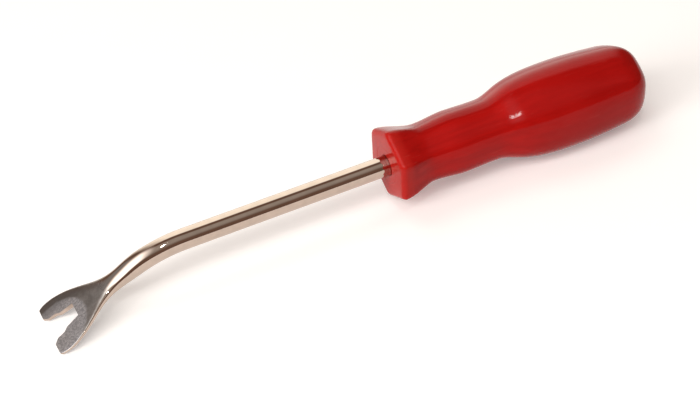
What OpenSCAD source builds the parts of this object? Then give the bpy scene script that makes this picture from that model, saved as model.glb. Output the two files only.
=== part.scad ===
// Trim removal tool: a bent steel shank with a forked, wedge-shaped end in a six-sided moulded handle.
// Lengths are in millimetres. The tool lies at rest on its two fork tips and the underside of the palm swell.

/* [Handle] */
// Length from the front face to the butt
handle_len = 111; // [102:1:130]
// Width of the front collar across its flats
collar_af = 27.2; // [24:0.2:30]
// Length of the collar's rim before it falls to the throat
collar_len = 4; // [3:0.5:6]
// Rounding of the collar's front edge
collar_edge = 1.4; // [0.6:0.2:2.4]
// Width of the throat behind the collar across its flats
throat_af = 22.4; // [20:0.2:24.4]
// Width of the finger grip across its flats
grip_af = 24.6; // [22:0.2:27]
// Width of the palm swell across its flats
swell_af = 34.6; // [30:0.2:38]
// Distance of the palm swell from the front face
swell_x = 77; // [72:1:82]
// Width at the heel, where the butt starts to round over, across its flats
heel_af = 32.2; // [28:0.2:34]
// Length of the rounded butt behind the heel
butt_len = 13.5; // [8:0.5:16]
// Sharpness of the collar's ridges, where a greater number gives a sharper ridge
collar_ridge = 30; // [16:1:40]
// Sharpness of the ridges along the finger grip
grip_ridge = 8.5; // [7:0.5:16]
// Sharpness of the ridges over the palm swell
swell_ridge = 6.5; // [6:0.5:16]
// Sharpness of the ridges where they run out over the butt
butt_ridge = 7; // [6:0.5:16]
// Turn of the handle about its axis from ridge straight up
handle_turn = 6; // [-15:1:15]

/* [Shank] */
// Diameter of the steel shank
shank_d = 8; // [6:0.5:9]
// Straight length from the handle's front face to the bend
shank_len = 82; // [60:1:120]
// Radius of the bend at the middle of the shank
bend_r = 56; // [40:1:80]
// Angle of the bend
bend_angle = 24; // [20:0.5:30]
// Depth of the tang in the handle
tang_len = 64; // [50:1:80]
// Width across the two pressed wings that stop the tang from turning
wing_w = 14; // [11:0.5:15]
// Thickness of the wings
wing_t = 2.4; // [1.6:0.2:3]
// Clearance round the tang in its socket
fit_gap = 0.05; // [0.02:0.01:0.1]

/* [Fork] */
// Length of the forged end from the bend to the tips
fork_len = 35.2; // [32:0.4:40]
// Greatest width over the two tines
fork_w = 29; // [27:0.5:32]
// Width over the outer corners of the tips
tip_w = 26; // [22:0.5:26.5]
// Thickness of the tips
tip_t = 1; // [0.8:0.1:2]
// Depth of the notch between the tines
notch_depth = 12.2; // [8:0.2:15]
// Width of the notch at its mouth
notch_mouth = 12; // [10:0.2:13]
// Width of the notch at its flat floor
notch_floor = 7.4; // [5:0.2:9]
// Chamfer at the inner corner of each tip
tip_chamfer = 1.8; // [0.6:0.1:2.4]

/* [Hidden] */
$fn = 64;
handle_red = [0.66, 0.07, 0.06];
steel_grey = [0.66, 0.64, 0.61];

// Points round each section and steps between two stations of an outline
ring_n = 48;
blade_n = 40;
edge_steps = 4;
span_steps = 6;
butt_steps = 9;

// Positions along the handle
throat_x = 15;
grip_x = 29;
waist_x = 43;
shoulder_x = 55;
heel_x = handle_len - butt_len;
waist_af = grip_af - 0.4;
shoulder_af = grip_af + 0.62 * (swell_af - grip_af);
throat_ridge = (collar_ridge + grip_ridge) / 3;
waist_ridge = (grip_ridge + swell_ridge) / 2;
// Flat left in the middle of the butt, as a share of the heel's width
butt_flat = 0.12;
// Fullness of the butt's rounding, where 2 is a plain ellipse
butt_power = 2.4;

// Details of the front face
mouth_chamfer = 0.4;
face_ring_r = 7.5;
face_ring_w = 0.4;
face_ring_depth = 0.15;

// Details of the tang
wing_x = 24;
wing_len = 13;
wing_ramp = 4;

// Details of the fork, measured from the end of the bend
forge_len = 8;
forge_angle = forge_len / bend_r * 180 / PI;
start_share = 0.9;
start_rise = -0.12;
round_len = 6;
round_share = 0.7;
round_rise = 0;
flare_u = 15;
flare_w = 0.262 * fork_w;
flare_share = 0.36;
flare_rise = 0.5;
broad_u = 24;
broad_w = 0.438 * fork_w;
broad_share = 0.22;
broad_rise = 0.25;
square_u = 27;
widest_u = 31;
blade_lip = 0.02;
root_len = 1.5;
root_share = 0.7;
blade_squareness = 7;
tip_slope = 0.03;
notch_step = 0.7;
step_share = 0.46;
side_share = 0.6;
notch_break = 0.3;
cut_over = 2;

// One cubic span between two stations of the form [position, value, slope]
function cubic(a, b, x) =
    let (d = b[0] - a[0], s = (x - a[0]) / d)
    (1 + 2 * s) * (1 - s) * (1 - s) * a[1] + s * (1 - s) * (1 - s) * d * a[2]
    + s * s * (3 - 2 * s) * b[1] + s * s * (s - 1) * d * b[2];

// Points [position, value] along a chain of stations, without the last station's own point
function chain(stations, steps) = [
    for (i = [0 : len(stations) - 2], k = [0 : steps - 1])
        let (x = stations[i][0] + (stations[i + 1][0] - stations[i][0]) * k / steps)
        [x, cubic(stations[i], stations[i + 1], x)]
];

// Side faces and end caps of a stack of rings with the same number of points
function skin(rings, n) = concat(
    [[for (i = [0 : n - 1]) i]],
    [for (j = [0 : rings - 2], i = [0 : n - 1])
        let (k = (i + 1) % n)
        [j * n + i, (j + 1) * n + k, j * n + k]],
    [for (j = [0 : rings - 2], i = [0 : n - 1])
        let (k = (i + 1) % n)
        [j * n + i, (j + 1) * n + i, (j + 1) * n + k]],
    [[for (i = [n - 1 : -1 : 0]) (rings - 1) * n + i]]
);

// Outline of the handle as [distance from the front face, half the width across flats, ridge sharpness]
collar_a = collar_af / 2;
heel_a = heel_af / 2;
edge_line = [
    for (k = [0 : edge_steps - 1])
        let (a = 90 * k / edge_steps)
        [collar_edge * (1 - cos(a)), collar_a - collar_edge * (1 - sin(a)), collar_ridge]
];
flats = chain([
    [collar_edge, collar_a, 0],
    [collar_len, collar_a - 0.2, -0.16],
    [throat_x, throat_af / 2, 0],
    [grip_x, grip_af / 2, 0],
    [waist_x, waist_af / 2, 0.03],
    [shoulder_x, shoulder_af / 2, 0.25],
    [swell_x, swell_af / 2, 0],
    [heel_x, heel_a, -0.09]
], span_steps);
ridges = chain([
    [collar_edge, collar_ridge, 0],
    [collar_len, collar_ridge, 0],
    [throat_x, throat_ridge, -0.5],
    [grip_x, grip_ridge, -0.1],
    [waist_x, waist_ridge, -0.08],
    [shoulder_x, swell_ridge, 0],
    [swell_x, swell_ridge, 0],
    [heel_x, butt_ridge, 0]
], span_steps);
side_line = [for (i = [0 : len(flats) - 1]) [flats[i][0], flats[i][1], ridges[i][1]]];
butt_line = [
    for (k = [0 : butt_steps])
        let (s = sin(90 * k / butt_steps), t = 1 - pow(s, butt_power))
        [heel_x + butt_len * s, heel_a * (butt_flat + (1 - butt_flat) * pow(t, 1 / butt_power))
            - 0.09 * butt_len * s * (1 - s), butt_ridge]
];
handle_line = concat(edge_line, side_line, butt_line);

// Rounded hexagon at one point of the outline, with ridges up and down, turned about the handle's axis
function hex_norm(t, power) = pow(
    pow(abs(cos(t)), power) + pow(abs(cos(t - 60)), power) + pow(abs(cos(t + 60)), power),
    1 / power
);
function hex_ring(p) = [
    for (i = [0 : ring_n - 1])
        let (t = 360 * i / ring_n, r = p[1] / hex_norm(t, p[2]))
        [p[0], r * cos(t + handle_turn), r * sin(t + handle_turn)]
];

// Forged end as [distance from the bend's end, half the width, half the thickness, rise of the middle]
bar_r = shank_d / 2 + blade_lip;
root_r = root_share * shank_d / 2;
widths = chain([
    [-forge_len, bar_r, 0],
    [0, bar_r, 0],
    [round_len, bar_r, 0.12],
    [flare_u, flare_w, 0.62],
    [broad_u, broad_w, 0.42],
    [widest_u, fork_w / 2, 0]
], span_steps);
thicks = chain([
    [-forge_len, bar_r, 0],
    [0, start_share * bar_r, -0.12],
    [round_len, round_share * bar_r, -0.15],
    [flare_u, flare_share * bar_r, -0.09],
    [broad_u, broad_share * bar_r, -0.04],
    [widest_u, tip_t / 2 + tip_slope * (fork_len - widest_u), -tip_slope]
], span_steps);
rises = chain([
    [-forge_len, 0, 0],
    [0, start_rise, 0],
    [round_len, round_rise, 0.05],
    [flare_u, flare_rise, 0],
    [broad_u, broad_rise, -0.04],
    [widest_u, 0, 0]
], span_steps);
fork_line = concat(
    [[-forge_len - root_len, root_r, root_r, 0]],
    [for (i = [0 : len(widths) - 1]) [widths[i][0], widths[i][1], thicks[i][1], rises[i][1]]],
    [for (k = [0 : span_steps])
        let (a = 90 * k / span_steps, u = widest_u + (fork_len - widest_u) * sin(a))
        [u, tip_w / 2 + (fork_w - tip_w) / 2 * cos(a), tip_t / 2 + tip_slope * (fork_len - u), 0]]
);

// Section of the forged end, from a circle in the bend to a squared bar at the tips
function squareness(u) = 2 + (blade_squareness - 2) * pow(max(0, min(1, u / square_u)), 2);
function signed_pow(v, e) = sign(v) * pow(abs(v), e);
function blade_ring(p) = [
    for (i = [0 : blade_n - 1])
        let (
            t = 360 * (i + 0.5) / blade_n,
            e = 2 / squareness(p[0]),
            r = bend_r + p[3] + p[2] * signed_pow(sin(t), e),
            a = max(0, -p[0]) / bend_r * 180 / PI
        )
        [r * sin(a) - max(0, p[0]), -p[1] * signed_pow(cos(t), e), r * cos(a) - bend_r]
];

// Resting pose: the line under the fork tips that just touches the underside of the handle
function at_bend_end(u, n) = [
    -shank_len - bend_r * sin(bend_angle) - u * cos(bend_angle) - n * sin(bend_angle),
    -bend_r * (1 - cos(bend_angle)) - u * sin(bend_angle) + n * cos(bend_angle)
];
tip_low = at_bend_end(fork_len, -tip_t / 2);
tip_high = at_bend_end(fork_len, tip_t / 2);
rest_tilt = min([
    for (p = handle_line)
        let (low = min([for (q = hex_ring(p)) q[2]]))
        atan2(low - tip_low[1], p[0] - tip_low[0])
]);
rest_lift = tip_low[0] * sin(rest_tilt) - tip_low[1] * cos(rest_tilt);
front_x = tip_high[0] * cos(rest_tilt) + tip_high[1] * sin(rest_tilt);
back_x = handle_len * cos(rest_tilt);

module at_rest() {
    translate([-(front_x + back_x) / 2, 0, rest_lift])
        rotate([0, rest_tilt, 0])
            children();
}

module along_x(length) {
    rotate([0, 90, 0])
        linear_extrude(length)
            children();
}

// Round tang with two wings, made larger by grow for the socket
module tang(grow) {
    along_x(tang_len + grow)
        circle(d = shank_d + 2 * grow);
    translate([0, 0, -wing_t / 2 - grow])
        linear_extrude(wing_t + 2 * grow)
            polygon([
                [wing_x - grow, -shank_d / 4],
                [wing_x - grow, -shank_d / 2],
                [wing_x + wing_ramp - grow, -wing_w / 2 - grow],
                [wing_x + wing_len + grow, -wing_w / 2 - grow],
                [wing_x + wing_len + grow, wing_w / 2 + grow],
                [wing_x + wing_ramp - grow, wing_w / 2 + grow],
                [wing_x - grow, shank_d / 2],
                [wing_x - grow, shank_d / 4]
            ]);
}

module handle() {
    color(handle_red)
        at_rest()
            difference() {
                polyhedron(
                    points = [for (p = handle_line) each hex_ring(p)],
                    faces = skin(len(handle_line), ring_n)
                );
                tang(fit_gap);
                socket_mouth();
            }
}

// Chamfer at the socket's mouth and the shallow ring round it in the front face
module socket_mouth() {
    rotate([0, 90, 0])
        rotate_extrude()
            polygon([
                [0, -cut_over],
                [shank_d / 2 + mouth_chamfer, -cut_over],
                [shank_d / 2 + mouth_chamfer, 0],
                [shank_d / 2, mouth_chamfer],
                [0, mouth_chamfer]
            ]);
    rotate([0, 90, 0])
        rotate_extrude()
            polygon([
                [face_ring_r - face_ring_w / 2, -cut_over],
                [face_ring_r + face_ring_w / 2, -cut_over],
                [face_ring_r + face_ring_w / 2, 0],
                [face_ring_r, face_ring_depth],
                [face_ring_r - face_ring_w / 2, 0]
            ]);
}

module shank() {
    color(steel_grey)
        at_rest() {
            tang(0);
            translate([-shank_len, 0, 0])
                along_x(shank_len)
                    circle(d = shank_d);
            translate([-shank_len, 0, -bend_r])
                rotate([90, 0, 0])
                    rotate([0, 0, 90])
                        rotate_extrude(angle = bend_angle - forge_angle)
                            translate([bend_r, 0])
                                circle(d = shank_d);
            translate([-shank_len, 0, -bend_r])
                rotate([0, -bend_angle, 0])
                    translate([0, 0, bend_r])
                        fork();
        }
}

// Forged end, which follows the last of the bend and then runs straight, with the notch between its tines
module fork() {
    difference() {
        polyhedron(
            points = [for (p = fork_line) each blade_ring(p)],
            faces = skin(len(fork_line), blade_n)
        );
        translate([0, 0, -shank_d])
            linear_extrude(2 * shank_d)
                notch();
    }
}

// Plan of the notch: flat floor, nearly straight sides, a step out to the mouth and a chamfer at each tip
module notch() {
    floor_u = fork_len - notch_depth;
    mouth_u = fork_len - tip_chamfer;
    step_u = floor_u + step_share * notch_depth;
    side_u = floor_u + side_share * notch_depth;
    polygon([
        [-floor_u, -notch_floor / 2],
        [-step_u, -notch_floor / 2 - notch_step],
        [-side_u, -notch_mouth / 2 + notch_break],
        [-mouth_u, -notch_mouth / 2],
        [-fork_len - cut_over, -notch_mouth / 2 - tip_chamfer - cut_over],
        [-fork_len - cut_over, notch_mouth / 2 + tip_chamfer + cut_over],
        [-mouth_u, notch_mouth / 2],
        [-side_u, notch_mouth / 2 - notch_break],
        [-step_u, notch_floor / 2 + notch_step],
        [-floor_u, notch_floor / 2]
    ]);
}

handle();
shank();
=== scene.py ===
import math

import bmesh
import bpy
from mathutils import Matrix, Vector


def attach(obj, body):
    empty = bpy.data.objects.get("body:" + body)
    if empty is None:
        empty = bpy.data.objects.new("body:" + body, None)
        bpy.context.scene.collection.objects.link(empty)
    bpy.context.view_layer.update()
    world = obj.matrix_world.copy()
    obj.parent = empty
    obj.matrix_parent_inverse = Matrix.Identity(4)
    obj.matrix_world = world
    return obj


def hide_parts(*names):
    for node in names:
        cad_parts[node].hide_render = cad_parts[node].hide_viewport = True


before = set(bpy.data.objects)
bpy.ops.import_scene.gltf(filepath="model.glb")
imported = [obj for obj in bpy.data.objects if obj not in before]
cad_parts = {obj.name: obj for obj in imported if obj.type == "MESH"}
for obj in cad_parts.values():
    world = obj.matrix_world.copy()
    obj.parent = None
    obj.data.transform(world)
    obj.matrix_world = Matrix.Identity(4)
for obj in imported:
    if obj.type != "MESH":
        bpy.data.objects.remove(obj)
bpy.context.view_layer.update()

# Sizes of the tool in millimetres and degrees, as in the part's source but for
# COLLAR_EDGE, RING_DEPTH and the throat, grip and waist rows of RIDGES, which are softer here.
# The tang's wings and their slots, which the handle hides, are left out.
HANDLE_LEN, HANDLE_TURN = 111.0, 6.0
COLLAR_AF, COLLAR_LEN, COLLAR_EDGE = 27.2, 4.0, 2.0
COLLAR_DROP, COLLAR_SLOPE = 0.2, -0.16
THROAT_X, THROAT_AF = 15.0, 22.4
GRIP_X, GRIP_AF = 29.0, 24.6
WAIST_X, WAIST_DROP, WAIST_SLOPE = 43.0, 0.2, 0.03
SHOULDER_X, SHOULDER_SHARE, SHOULDER_SLOPE = 55.0, 0.62, 0.25
SWELL_X, SWELL_AF = 77.0, 34.6
HEEL_AF, HEEL_SLOPE = 32.2, -0.09
BUTT_LEN, BUTT_FLAT, BUTT_POWER = 13.5, 0.12, 2.4
HEEL_X = HANDLE_LEN - BUTT_LEN
MOUTH_CHAMFER, RING_R, RING_W, RING_DEPTH, RING_MARGIN = 0.4, 7.5, 0.4, 0.07, 0.05
FIT_GAP = 0.05
# Sharpness of the handle's ridges: place along the handle, power of the hexagon's rounding, slope
RIDGES = (
    (0.0, 30.0, 0.0),
    (COLLAR_LEN, 30.0, 0.0),
    (THROAT_X, 9.0, -0.4),
    (GRIP_X, 7.4, -0.04),
    (WAIST_X, 7.0, -0.04),
    (SHOULDER_X, 6.5, 0.0),
    (SWELL_X, 6.5, 0.0),
    (HEEL_X, 7.0, 0.0),
    (HANDLE_LEN, 7.0, 0.0),
)
SKIN = 0.06  # keeps the smooth skin inside the box of the faceted solid

SHANK_D, SHANK_LEN, BEND_R, BEND_ANGLE = 8.0, 82.0, 56.0, 24.0
TANG_LEN, TANG_MID, TANG_BACK = 64.0, 20.0, 0.02
FORGE_LEN, FORK_LEN, FORK_W, TIP_W, TIP_T, TIP_SLOPE = 8.0, 35.2, 29.0, 26.0, 1.0, 0.03
ROUND_U, FLARE_U, BROAD_U, WIDEST_U = 6.0, 15.0, 24.0, 31.0
SQUARE_U, SQUARENESS = 27.0, 7.0
SHANK_R = SHANK_D / 2
# Stations of the forged end: place along the blade, value, slope
HALF_WIDTHS = (
    (-FORGE_LEN, SHANK_R, 0.0),
    (0.0, SHANK_R, 0.0),
    (ROUND_U, SHANK_R, 0.12),
    (FLARE_U, 0.262 * FORK_W, 0.62),
    (BROAD_U, 0.438 * FORK_W, 0.42),
    (WIDEST_U, FORK_W / 2, 0.0),
)
HALF_THICKS = (
    (-FORGE_LEN, SHANK_R, 0.0),
    (0.0, 0.90 * SHANK_R, -0.12),
    (ROUND_U, 0.70 * SHANK_R, -0.15),
    (FLARE_U, 0.36 * SHANK_R, -0.09),
    (BROAD_U, 0.22 * SHANK_R, -0.04),
    (WIDEST_U, TIP_T / 2 + TIP_SLOPE * (FORK_LEN - WIDEST_U), -TIP_SLOPE),
)
RISES = (
    (-FORGE_LEN, 0.0, 0.0),
    (0.0, -0.12, 0.0),
    (ROUND_U, 0.0, 0.05),
    (FLARE_U, 0.5, 0.0),
    (BROAD_U, 0.25, -0.04),
    (WIDEST_U, 0.0, 0.0),
)
NOTCH_DEPTH, NOTCH_MOUTH, NOTCH_FLOOR, NOTCH_BREAK, TIP_CHAMFER = 12.2, 12.0, 7.4, 0.3, 1.8
# The notch's step: its two ends as shares of the depth, and how far out the first one is
STEP_FROM, STEP_TO, STEP_OUT = 0.46, 0.6, 0.7
CUT_PAST, CUT_HALF = 2.0, 8.0

# The tool's own frame in the row frame, in degrees and millimetres
TILT, LIFT, SHIFT_X = 0.471261, 18.4901, 13.1452
MM_PER_M = 1000.0

# Finish of the meshes
RING_N, SHANK_N = 144, 96
EDGE_STEPS, PROFILE_STEPS, BUTT_STEPS = 10, 14, 28
ROD_STEPS, BEND_STEPS, BLADE_STEPS, TIP_STEPS = 12, 18, 12, 12
HANDLE_SHARP, SHANK_SHARP = 30.0, 32.0

SIN, COS, rad = math.sin, math.cos, math.radians
X_AXIS, Y_AXIS, Z_AXIS = (1.0, 0.0, 0.0), (0.0, 1.0, 0.0), (0.0, 0.0, 1.0)


def turned(p):
    a = rad(TILT)
    x, y, z = p
    return COS(a) * x + SIN(a) * z, y, -SIN(a) * x + COS(a) * z


def turn(p):
    """A direction of the tool's own frame to the row frame."""
    return Vector(turned(p))


def place(p):
    """A point of the tool's own frame, in millimetres, to the row frame, in metres."""
    x, y, z = turned(p)
    return Vector((x + SHIFT_X, y, z + LIFT)) / MM_PER_M


def cubic(a, b, x):
    """The smooth curve between two stations of place, value and slope."""
    d = b[0] - a[0]
    s = (x - a[0]) / d
    return ((1 + 2 * s) * (1 - s) ** 2 * a[1] + s * (1 - s) ** 2 * d * a[2]
            + s * s * (3 - 2 * s) * b[1] + s * s * (s - 1) * d * b[2])


def chain(stations, steps):
    """Points along the curve through the stations, without its last one."""
    line = []
    for a, b in zip(stations, stations[1:]):
        for k in range(steps):
            x = a[0] + (b[0] - a[0]) * k / steps
            line.append((x, cubic(a, b, x)))
    return line


def new_object(name, data):
    obj = bpy.data.objects.new(name, data)
    bpy.context.scene.collection.objects.link(obj)
    return obj


def skin_object(name, rings, material, sharp):
    """One closed mesh over a stack of rings of equal length, smooth but for its sharp edges."""
    mesh = bpy.data.meshes.new(name)
    bm = bmesh.new()
    rows = [[bm.verts.new(place(p)) for p in ring] for ring in rings]
    n = len(rows[0])
    for lower, upper in zip(rows, rows[1:]):
        for i in range(n):
            k = (i + 1) % n
            bm.faces.new((lower[i], lower[k], upper[k], upper[i]))
    bm.faces.new(rows[0][::-1])
    bm.faces.new(rows[-1])
    bmesh.ops.recalc_face_normals(bm, faces=bm.faces)
    for f in bm.faces:
        f.smooth = True
    bm.to_mesh(mesh)
    bm.free()
    mesh.set_sharp_from_angle(angle=rad(sharp))
    mesh.materials.append(material)
    return new_object(name, mesh)


# Materials
class Nodes:
    """Short names for making a node tree of a material or a world."""

    def __init__(self, owner):
        owner.use_nodes = True
        self.tree = owner.node_tree
        self.tree.nodes.clear()

    def add(self, kind, **values):
        node = self.tree.nodes.new(kind)
        for key, value in values.items():
            setattr(node, key, value)
        return node

    def link(self, a, b):
        self.tree.links.new(a, b)

    def feed(self, socket, value):
        if hasattr(value, "is_linked"):
            self.link(value, socket)
        else:
            socket.default_value = value

    def two(self, node, a, b):
        self.feed(node.inputs[0], a)
        self.feed(node.inputs[1], b)
        return node.outputs

    def math(self, op, a, b=0.0):
        return self.two(self.add("ShaderNodeMath", operation=op), a, b)[0]

    def times(self, a, b):
        return self.math("MULTIPLY", a, b)

    def plus(self, a, b):
        return self.math("ADD", a, b)

    def dot(self, a, b):
        return self.two(self.add("ShaderNodeVectorMath", operation="DOT_PRODUCT"), a, b)["Value"]

    def minus_vector(self, a, b):
        return self.two(self.add("ShaderNodeVectorMath", operation="SUBTRACT"), a, b)["Vector"]

    def step(self, value, low, high, to_low=0.0, to_high=1.0):
        node = self.add("ShaderNodeMapRange", interpolation_type="SMOOTHSTEP")
        self.feed(node.inputs["Value"], value)
        limits = {"From Min": low, "From Max": high, "To Min": to_low, "To Max": to_high}
        for key, limit in limits.items():
            node.inputs[key].default_value = limit
        return node.outputs["Result"]

    def noise(self, vector, scale=1.0, detail=2.0, rough=0.5):
        node = self.add("ShaderNodeTexNoise")
        self.feed(node.inputs["Vector"], vector)
        node.inputs["Scale"].default_value = scale
        node.inputs["Detail"].default_value = detail
        node.inputs["Roughness"].default_value = rough
        return node.outputs["Fac"]

    def mix(self, factor, a, b, kind="RGBA"):
        node = self.add("ShaderNodeMix", data_type=kind)
        self.feed(node.inputs["Factor"], factor)
        self.feed(node.inputs["A"], a)
        self.feed(node.inputs["B"], b)
        return node.outputs["Result"]

    def blend(self, factor, a, b):
        return self.mix(factor, a, b, "FLOAT")

    def bump(self, height, distance, strength, normal=None):
        node = self.add("ShaderNodeBump")
        node.inputs["Strength"].default_value = strength
        node.inputs["Distance"].default_value = distance
        self.feed(node.inputs["Height"], height)
        if normal is not None:
            self.link(normal, node.inputs["Normal"])
        return node.outputs["Normal"]

    def stretched(self, vector, scale):
        node = self.add("ShaderNodeMapping")
        self.feed(node.inputs["Vector"], vector)
        node.inputs["Scale"].default_value = scale
        return node.outputs["Vector"]

    def seen(self):
        """1 for rays from the camera, off a glossy surface or through glass, else 0."""
        path = self.add("ShaderNodeLightPath").outputs
        onward = self.math("MAXIMUM", path["Is Glossy Ray"], path["Is Transmission Ray"])
        return self.math("MAXIMUM", path["Is Camera Ray"], onward)

    def finish(self, shader, kind="ShaderNodeOutputMaterial"):
        self.link(shader.outputs[0], self.add(kind).inputs[0])


RED_DEEP = (0.32, 0.0038, 0.0031, 1)
RED_PLAIN = (0.355, 0.0050, 0.0041, 1)
# Pale streak colour: painted highlight streaks along the grip
RED_STREAK_HIGHLIGHT = (0.47, 0.0075, 0.006, 1)
# Paler collar colour: painted light and sheen on the collar
RED_COLLAR_LIT = (0.46, 0.017, 0.012, 1)
RED_SCUFF = (0.55, 0.10, 0.08, 1)


def red_plastic():
    material = bpy.data.materials.new("red_plastic")
    n = Nodes(material)
    where = n.add("ShaderNodeTexCoord").outputs["Object"]
    along = n.dot(where, X_AXIS)
    cloud = n.noise(where, scale=55.0, detail=3.0)
    grain = n.noise(where, scale=1800.0)
    wave = n.noise(where, scale=130.0, detail=1.0)
    scuff = n.noise(n.stretched(where, (60.0, 900.0, 900.0)), detail=3.0, rough=0.6)
    scuffs = n.step(scuff, low=0.62, high=0.78)
    # Streaks along the handle: painted highlights in the colour, with a slight bump as well
    streak = n.noise(n.stretched(where, (14.0, 330.0, 330.0)), detail=3.0, rough=0.55)
    highlight_streaks = n.step(streak, low=0.36, high=0.64)
    # Painted highlight streaks fade from the grip to the swell, and the collar is painted paler
    # than the rest, as painted light and sheen
    highlight_streak_share = n.step(along, low=0.050, high=0.080, to_low=0.45, to_high=0.22)
    collar_light_share = n.step(along, low=0.0165, high=0.0195, to_low=0.55, to_high=0.0)
    scuff_share, scuff_rough = 0.10, 0.08
    least_rough, grain_rough = 0.09, 0.03
    colour = n.mix(n.step(cloud, low=0.3, high=0.7), RED_DEEP, RED_PLAIN)
    # Painted highlight streaks mixed into the colour
    colour = n.mix(n.times(highlight_streaks, highlight_streak_share), colour, RED_STREAK_HIGHLIGHT)
    # Painted light and sheen: the collar is mixed towards a paler red
    colour = n.mix(collar_light_share, colour, RED_COLLAR_LIT)
    colour = n.mix(n.times(scuffs, scuff_share), colour, RED_SCUFF)
    shader = n.add("ShaderNodeBsdfPrincipled")
    n.link(colour, shader.inputs["Base Color"])
    rough = n.plus(n.times(grain, grain_rough), least_rough)
    n.link(n.plus(rough, n.times(scuffs, scuff_rough)), shader.inputs["Roughness"])
    shader.inputs["IOR"].default_value = 1.5
    shader.inputs["Specular IOR Level"].default_value = 0.10
    shader.inputs["Coat Weight"].default_value = 0.05
    shader.inputs["Coat Roughness"].default_value = 0.03
    normal = n.bump(wave, distance=0.0001, strength=0.2)
    normal = n.bump(highlight_streaks, distance=0.000008, strength=0.15, normal=normal)
    normal = n.bump(grain, distance=0.000002, strength=0.2, normal=normal)
    n.link(normal, shader.inputs["Normal"])
    n.finish(shader)
    return material


def fork_point(u, v, h):
    """A point along, across and out of the blade, in the tool's own frame."""
    a = rad(BEND_ANGLE)
    return (-SHANK_LEN - BEND_R * SIN(a) - u * COS(a) - h * SIN(a), v,
            -BEND_R * (1 - COS(a)) - u * SIN(a) + h * COS(a))


BRIGHT_DEEP = (0.48, 0.39, 0.33, 1)
BRIGHT_PALE = (0.53, 0.43, 0.365, 1)
FORGED_DEEP = (0.34, 0.315, 0.29, 1)
FORGED_PALE = (0.56, 0.53, 0.50, 1)
FORGED_SPECK = (0.30, 0.27, 0.245, 1)
# Painted shade of the forged finish towards the +Y tine
FORGED_FAR_SHADE = (0.22, 0.20, 0.185, 1)
GROUND_DEEP = (0.42, 0.41, 0.42, 1)
GROUND_PALE = (0.72, 0.70, 0.71, 1)
# Painted shade of the ground finish towards the +Y tine
GROUND_FAR_SHADE = (0.33, 0.32, 0.325, 1)
# Middle of the ground pad on the blade, and how far its edge wanders
PAD_U, PAD_V, PAD_WANDER = 31.5, -1.8, 1.6


def plated_steel():
    material = bpy.data.materials.new("plated_steel")
    n = Nodes(material)
    where = n.add("ShaderNodeTexCoord").outputs["Object"]
    normal = n.add("ShaderNodeNewGeometry").outputs["Normal"]
    # Place on the blade in millimetres, and how squarely the surface faces out of it
    a = rad(BEND_ANGLE)
    along = turn((-COS(a), 0.0, -SIN(a)))
    out_of = turn((-SIN(a), 0.0, COS(a)))
    start = place(fork_point(0.0, 0.0, 0.0))
    rel = n.minus_vector(where, tuple(start))
    u = n.times(n.dot(rel, tuple(along)), MM_PER_M)
    v = n.times(n.dot(rel, Y_AXIS), MM_PER_M)
    facing = n.math("ABSOLUTE", n.dot(normal, tuple(out_of)))
    ripple = n.noise(where, scale=700.0, detail=3.0)
    face = n.times(n.step(u, low=6.0, high=12.0), n.step(facing, low=0.72, high=0.92))
    # Ground pad round the notch
    du = n.math("SUBTRACT", u, PAD_U)
    dv = n.math("SUBTRACT", v, PAD_V)
    reach = n.math("SQRT", n.plus(n.times(du, du), n.times(dv, dv)))
    reach = n.plus(reach, n.times(n.math("SUBTRACT", ripple, 0.5), PAD_WANDER))
    pad = n.times(face, n.step(reach, low=11.9, high=13.2, to_low=1.0, to_high=0.0))
    cloud = n.noise(where, scale=260.0, detail=4.0, rough=0.6)
    specks = n.noise(where, scale=1400.0)
    drawn = n.noise(n.stretched(where, (40.0, 2600.0, 2600.0)))
    speck_share, drawn_rough, least_rough, face_rough, pad_rough = 0.3, 0.04, 0.035, 0.30, 0.42
    bright = n.mix(n.step(cloud, low=0.3, high=0.7), BRIGHT_DEEP, BRIGHT_PALE)
    forged = n.mix(n.step(cloud, low=0.25, high=0.75), FORGED_DEEP, FORGED_PALE)
    forged_specks = n.times(n.step(specks, low=0.35, high=0.65), speck_share)
    forged = n.mix(forged_specks, forged, FORGED_SPECK)
    # Painted shade: both finishes are darker towards the tine on the +Y side
    forged = n.mix(n.step(v, low=1.0, high=9.0, to_high=0.75), forged, FORGED_FAR_SHADE)
    ground = n.mix(n.step(specks, low=0.3, high=0.7), GROUND_DEEP, GROUND_PALE)
    ground = n.mix(n.step(v, low=5.0, high=10.0, to_high=0.65), ground, GROUND_FAR_SHADE)
    colour = n.mix(pad, n.mix(face, bright, forged), ground)
    shader = n.add("ShaderNodeBsdfPrincipled")
    shader.inputs["Metallic"].default_value = 1.0
    n.link(colour, shader.inputs["Base Color"])
    rough = n.plus(n.times(drawn, drawn_rough), least_rough)
    rough = n.blend(face, rough, face_rough)
    n.link(n.blend(pad, rough, pad_rough), shader.inputs["Roughness"])
    relief = n.bump(drawn, distance=0.000001, strength=0.15)
    relief = n.bump(n.times(cloud, face), distance=0.00012, strength=0.5, normal=relief)
    relief = n.bump(n.times(specks, pad), distance=0.00003, strength=0.6, normal=relief)
    n.link(relief, shader.inputs["Normal"])
    n.finish(shader)
    return material


# Handle
RING_ANGLES = [360.0 * i / RING_N for i in range(RING_N)]
HEX_NORMALS = (0.0, 60.0, -60.0)


def ridge_power(x):
    for a, b in zip(RIDGES, RIDGES[1:]):
        if x <= b[0]:
            return cubic(a, b, x)
    return RIDGES[-1][1]


def ring_point(x, r, t):
    return x, r * COS(rad(t + HANDLE_TURN)), r * SIN(rad(t + HANDLE_TURN))


def hex_ring(x, a):
    """A rounded hexagon with the distance a from its middle to its flats."""
    ring = []
    power = ridge_power(x)
    for t in RING_ANGLES:
        total = sum(abs(COS(rad(t + s))) ** power for s in HEX_NORMALS)
        ring.append(ring_point(x, (a - SKIN) / total ** (1.0 / power), t))
    return ring


def round_ring(x, r):
    return [ring_point(x, r, t) for t in RING_ANGLES]


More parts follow.
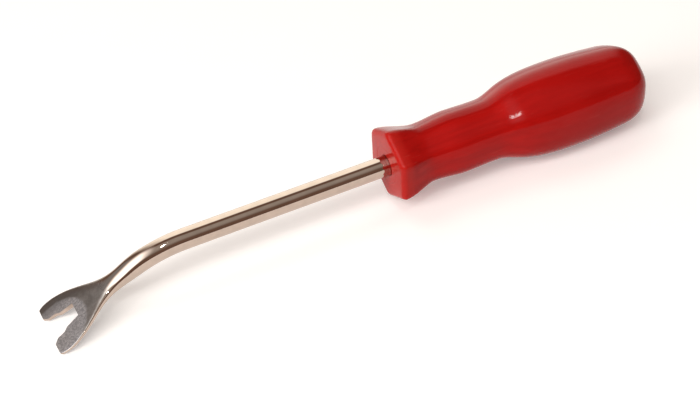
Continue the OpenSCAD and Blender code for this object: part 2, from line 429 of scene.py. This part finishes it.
def handle_rings():
    """Rings from the bottom of the socket, out over the collar's face, to the butt."""
    collar_a, heel_a = COLLAR_AF / 2, HEEL_AF / 2
    shoulder_af = GRIP_AF + SHOULDER_SHARE * (SWELL_AF - GRIP_AF)
    bore = SHANK_R + FIT_GAP
    inner = [
        (TANG_LEN + FIT_GAP, bore),
        (MOUTH_CHAMFER - FIT_GAP, bore),
        (0.0, SHANK_R + MOUTH_CHAMFER),
        (0.0, RING_R - RING_W / 2 - RING_MARGIN),
        (0.0, RING_R - RING_W / 2),
        (RING_DEPTH, RING_R),
        (0.0, RING_R + RING_W / 2),
        (0.0, RING_R + RING_W / 2 + RING_MARGIN),
    ]
    line = []
    for k in range(EDGE_STEPS):
        t = rad(90.0 * k / EDGE_STEPS)
        line.append((COLLAR_EDGE * (1 - COS(t)), collar_a - COLLAR_EDGE * (1 - SIN(t))))
    line += chain([
        (COLLAR_EDGE, collar_a, 0.0),
        (COLLAR_LEN, collar_a - COLLAR_DROP, COLLAR_SLOPE),
        (THROAT_X, THROAT_AF / 2, 0.0),
        (GRIP_X, GRIP_AF / 2, 0.0),
        (WAIST_X, GRIP_AF / 2 - WAIST_DROP, WAIST_SLOPE),
        (SHOULDER_X, shoulder_af / 2, SHOULDER_SLOPE),
        (SWELL_X, SWELL_AF / 2, 0.0),
        (HEEL_X, heel_a, HEEL_SLOPE),
    ], PROFILE_STEPS)
    for k in range(BUTT_STEPS + 1):
        s = SIN(rad(90.0 * k / BUTT_STEPS))
        t = max(0.0, 1 - s ** BUTT_POWER)
        a = heel_a * (BUTT_FLAT + (1 - BUTT_FLAT) * t ** (1 / BUTT_POWER))
        line.append((HEEL_X + BUTT_LEN * s, a + HEEL_SLOPE * BUTT_LEN * s * (1 - s)))
    return [round_ring(x, r) for x, r in inner] + [hex_ring(x, a) for x, a in line]


handle = skin_object("handle_moulding", handle_rings(), red_plastic(), HANDLE_SHARP)
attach(handle, "root")
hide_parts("handle")


# Shank
def signed_pow(v, e):
    return math.copysign(abs(v) ** e, v)


def shank_rings():
    """Rings from the tang's end, along the rod and round the bend, to the fork's tips."""
    r = SHANK_R
    angles = [rad(360.0 * (i + 0.5) / SHANK_N) for i in range(SHANK_N)]
    rings = []
    straight = [-SHANK_LEN * k / ROD_STEPS for k in range(1, ROD_STEPS)]
    for x in [TANG_LEN - TANG_BACK, TANG_MID, 0.0] + straight:
        rings.append([(x, -r * COS(t), r * SIN(t)) for t in angles])
    for k in range(BEND_STEPS):
        b = (rad(BEND_ANGLE) - FORGE_LEN / BEND_R) * k / BEND_STEPS
        ring = []
        for t in angles:
            q = BEND_R + r * SIN(t)
            ring.append((-SHANK_LEN - q * SIN(b), -r * COS(t), -BEND_R + q * COS(b)))
        rings.append(ring)
    curves = [chain(stations, BLADE_STEPS) for stations in (HALF_WIDTHS, HALF_THICKS, RISES)]
    blade = [(u, w, h, m) for (u, w), (_, h), (_, m) in zip(*curves)]
    for k in range(TIP_STEPS + 1):
        t = rad(90.0 * k / TIP_STEPS)
        u = WIDEST_U + (FORK_LEN - WIDEST_U) * SIN(t)
        w = TIP_W / 2 + (FORK_W - TIP_W) / 2 * COS(t)
        blade.append((u, w, TIP_T / 2 + TIP_SLOPE * (FORK_LEN - u), 0.0))
    for u, w, h, m in blade:
        # The section goes from round to squarish along the blade
        square = max(0.0, min(1.0, u / SQUARE_U)) ** 2
        e = 2.0 / (2.0 + (SQUARENESS - 2.0) * square)
        a = max(0.0, -u) / BEND_R
        ring = []
        for t in angles:
            q = BEND_R + m + h * signed_pow(SIN(t), e)
            across = -w * signed_pow(COS(t), e)
            ring.append(fork_point(max(0.0, u) - q * SIN(a), across, q * COS(a) - BEND_R))
        rings.append(ring)
    return rings


def notch_cutter():
    floor_u = FORK_LEN - NOTCH_DEPTH
    half = [
        (floor_u, NOTCH_FLOOR / 2),
        (floor_u + STEP_FROM * NOTCH_DEPTH, NOTCH_FLOOR / 2 + STEP_OUT),
        (floor_u + STEP_TO * NOTCH_DEPTH, NOTCH_MOUTH / 2 - NOTCH_BREAK),
        (FORK_LEN - TIP_CHAMFER, NOTCH_MOUTH / 2),
        (FORK_LEN + CUT_PAST, NOTCH_MOUTH / 2 + TIP_CHAMFER + CUT_PAST),
    ]
    plan = half + [(u, -v) for u, v in half[::-1]]
    mesh = bpy.data.meshes.new("notch_cutter")
    bm = bmesh.new()
    low = [bm.verts.new(place(fork_point(u, v, -CUT_HALF))) for u, v in plan]
    high = [bm.verts.new(place(fork_point(u, v, CUT_HALF))) for u, v in plan]
    bm.faces.new(low)
    bm.faces.new(high[::-1])
    for i in range(len(plan)):
        k = (i + 1) % len(plan)
        bm.faces.new((low[k], low[i], high[i], high[k]))
    bmesh.ops.recalc_face_normals(bm, faces=bm.faces)
    bm.to_mesh(mesh)
    bm.free()
    return new_object("notch_cutter", mesh)


shank = skin_object("shank_bar", shank_rings(), plated_steel(), SHANK_SHARP)
cutter = notch_cutter()
cut = shank.modifiers.new("notch", "BOOLEAN")
cut.operation = "DIFFERENCE"
cut.solver = "EXACT"
cut.object = cutter
bpy.context.view_layer.update()
evaluated = shank.evaluated_get(bpy.context.evaluated_depsgraph_get())
cut_mesh = bpy.data.meshes.new_from_object(evaluated)
shank.modifiers.clear()
shank.data = cut_mesh
bpy.data.objects.remove(cutter)
for poly in cut_mesh.polygons:
    poly.use_smooth = True
cut_mesh.set_sharp_from_angle(angle=rad(SHANK_SHARP))
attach(shank, "root")
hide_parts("shank")

# Floor, in metres
FLOOR_HALF, FLOOR_DROP, FLOOR_GLOW = 3, 0.0002, 0.25
PAPER_DEEP = (0.88, 0.865, 0.845, 1)
PAPER_PALE = (0.90, 0.885, 0.865, 1)


def floor_material():
    """Pale paper, with a glow that the camera and the metal see and that lights nothing."""
    material = bpy.data.materials.new("floor_paper")
    n = Nodes(material)
    where = n.add("ShaderNodeTexCoord").outputs["Object"]
    tone = n.noise(where, scale=40.0)
    diffuse = n.add("ShaderNodeBsdfDiffuse")
    n.link(n.mix(tone, PAPER_DEEP, PAPER_PALE), diffuse.inputs["Color"])
    glow = n.add("ShaderNodeEmission")
    glow.inputs["Color"].default_value = (1.0, 1.0, 1.0, 1)
    n.link(n.times(n.seen(), FLOOR_GLOW), glow.inputs["Strength"])
    both = n.add("ShaderNodeAddShader")
    n.link(diffuse.outputs[0], both.inputs[0])
    n.link(glow.outputs[0], both.inputs[1])
    n.finish(both)
    return material


floor_mesh = bpy.data.meshes.new("floor")
corners = [(i * FLOOR_HALF, j * FLOOR_HALF, 0) for i, j in ((-1, -1), (1, -1), (1, 1), (-1, 1))]
floor_mesh.from_pydata(corners, [], [(0, 1, 2, 3)])
floor_mesh.materials.append(floor_material())
floor = new_object("floor", floor_mesh)
floor.location.z = -FLOOR_DROP

# Camera, fitted to the photo in the tool's own frame
right = turn((0.896609, -0.432508, -0.095017))
up = turn((0.330091, 0.509757, 0.794473))
back = turn((-0.295181, -0.743696, 0.599820))
eye = place((-186.93, -429.23, 334.55))
cam_data = bpy.data.cameras.new("camera")
cam_data.sensor_fit = "HORIZONTAL"
cam_data.sensor_width = 36.0
cam_data.lens = 78.56
cam_data.clip_start = 0.01
camera = new_object("camera", cam_data)
camera.matrix_world = Matrix((
    (right.x, up.x, back.x, eye.x),
    (right.y, up.y, back.y, eye.y),
    (right.z, up.z, back.z, eye.z),
    (0, 0, 0, 1),
))
bpy.context.scene.camera = camera

# Lamps
LAMP_WHITE = (1.0, 0.99, 0.98)
LAMP_WARM = (1.0, 0.98, 0.96)


def area_light(name, at, aim, size, power, colour, in_mirrors):
    data = bpy.data.lights.new(name, "AREA")
    data.shape = "ELLIPSE"
    data.size, data.size_y = size
    data.energy = power
    data.color = colour
    obj = new_object(name, data)
    obj.location = at
    obj.rotation_euler = (Vector(aim) - Vector(at)).to_track_quat("-Z", "Y").to_euler()
    obj.visible_glossy = in_mirrors


# The small lamp makes the spots on the handle and the bend. The windows of the world stand in
# for the large ones where the metal mirrors them.
area_light("key_lamp", at=(-0.105, -0.40, 0.66), aim=(0.0, 0.0, 0.02), size=(0.022, 0.092),
           power=0.44, colour=LAMP_WHITE, in_mirrors=True)
area_light("side_box", at=(-0.93, -0.90, 1.34), aim=(-0.1, 0.0, 0.01), size=(1.36, 0.48),
           power=14.0, colour=LAMP_WHITE, in_mirrors=False)
area_light("left_box", at=(-1.9, -0.55, 1.0), aim=(0.0, 0.0, 0.02), size=(1.0, 1.0),
           power=24.0, colour=LAMP_WARM, in_mirrors=False)
area_light("top_box", at=(-0.45, 0.7, 1.8), aim=(0.0, 0.0, 0.0), size=(1.2, 1.2),
           power=6.0, colour=LAMP_WARM, in_mirrors=False)

# World: a brown room with a pale panel over its front, a cool wall and two windows
ROOM_BROWN = (0.22, 0.135, 0.10, 1)
ROOM_PANEL = (0.50, 0.46, 0.42, 1)
ROOM_COOL = (0.36, 0.36, 0.365, 1)
BACK_WINDOW_LIGHT = (0.55, 0.53, 0.49, 1)
BACK_WINDOW_SEEN = (1.85, 1.82, 1.66, 1)
LEFT_WINDOW_SEEN = (3.0, 3.0, 3.0, 1)
TO_BACK = (0.361, 0.933, 0.0)

world = bpy.data.worlds.new("room")
bpy.context.scene.world = world
w = Nodes(world)
direction = w.add("ShaderNodeTexCoord").outputs["Generated"]
behind = w.dot(direction, TO_BACK)
aside = w.dot(direction, X_AXIS)
depth = w.dot(direction, Y_AXIS)
height = w.dot(direction, Z_AXIS)
seen = w.seen()
panel = w.times(w.step(height, low=0.4, high=0.8),
                w.step(behind, low=-0.2, high=0.0, to_low=1.0, to_high=0.0))
cool = w.times(w.step(behind, low=0.1, high=0.35),
               w.step(aside, low=-0.50, high=-0.36, to_low=1.0, to_high=0.0))
sky = w.mix(cool, w.mix(panel, ROOM_BROWN, ROOM_PANEL), ROOM_COOL)
# Back window, which makes the bright top of the rod and of the handle
back_window = w.times(w.step(behind, low=0.22, high=0.42), w.step(aside, low=-0.28, high=0.06))
back_window = w.times(back_window, w.step(aside, low=0.55, high=0.8, to_low=1.0, to_high=0.0))
sky = w.mix(back_window, sky, w.mix(seen, BACK_WINDOW_LIGHT, BACK_WINDOW_SEEN))
# Left window, which makes the streak along the bend
left_window = w.times(w.step(aside, low=-0.36, high=-0.11, to_low=1.0, to_high=0.0),
                      w.step(height, low=0.40, high=0.52))
left_window = w.times(left_window, w.step(depth, low=-0.10, high=0.55, to_low=1.0, to_high=0.0))
left_window = w.times(left_window, w.step(depth, low=-0.85, high=-0.70))
sky = w.mix(w.times(left_window, seen), sky, LEFT_WINDOW_SEEN)
room = w.add("ShaderNodeBackground")
w.link(sky, room.inputs["Color"])
w.finish(room, "ShaderNodeOutputWorld")

bpy.context.scene.view_settings.view_transform = "Standard"
